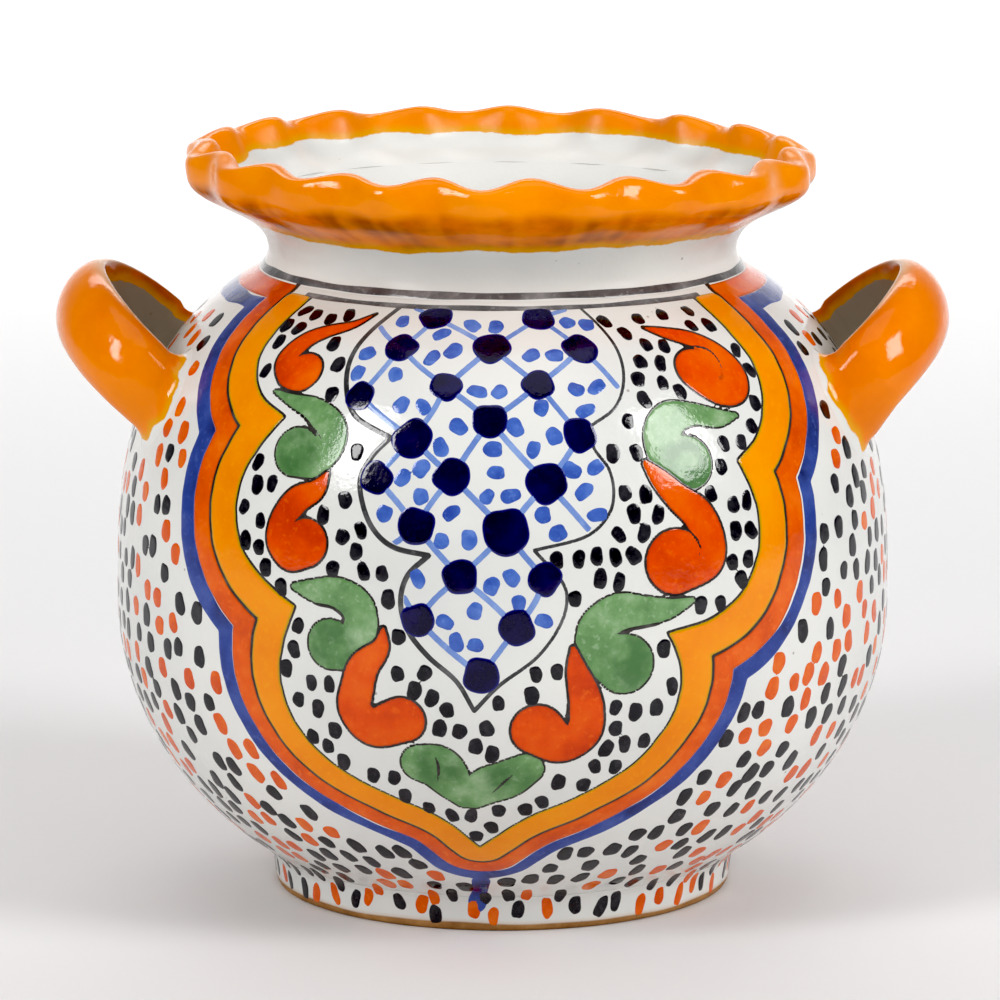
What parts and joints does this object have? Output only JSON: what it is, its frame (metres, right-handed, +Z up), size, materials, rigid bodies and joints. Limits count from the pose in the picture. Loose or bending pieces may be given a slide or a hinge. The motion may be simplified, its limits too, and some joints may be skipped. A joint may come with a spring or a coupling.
{
  "type": "two-handled vase",
  "caption": "Round painted pottery vase on a foot ring, with a short neck, a ruffled flared lip and two strap handles.",
  "frame": {"origin": "centre of the foot, on the table", "axes": "+Z up along the thrown axis; the handles stand out along +X and -X; the painted front faces -Y"},
  "size_m": [0.2306, 0.2004, 0.1949],
  "materials": {
    "glazed_foot": "glossy tin glaze over terracotta, bare clay at the standing edge",
    "painted_body": "glossy tin glaze, hand painted in blue, orange, green and black",
    "white_glaze": "glossy tin glaze",
    "orange_rim": "glossy orange-yellow glaze",
    "orange_handle": "glossy orange glaze"
  },
  "bodies": {
    "root": {"foot_ring": "glazed_foot", "belly": "painted_body", "neck_collar": "white_glaze", "ruffled_rim": "orange_rim", "left_handle": "orange_handle", "right_handle": "orange_handle"}
  },
  "joints": []
}
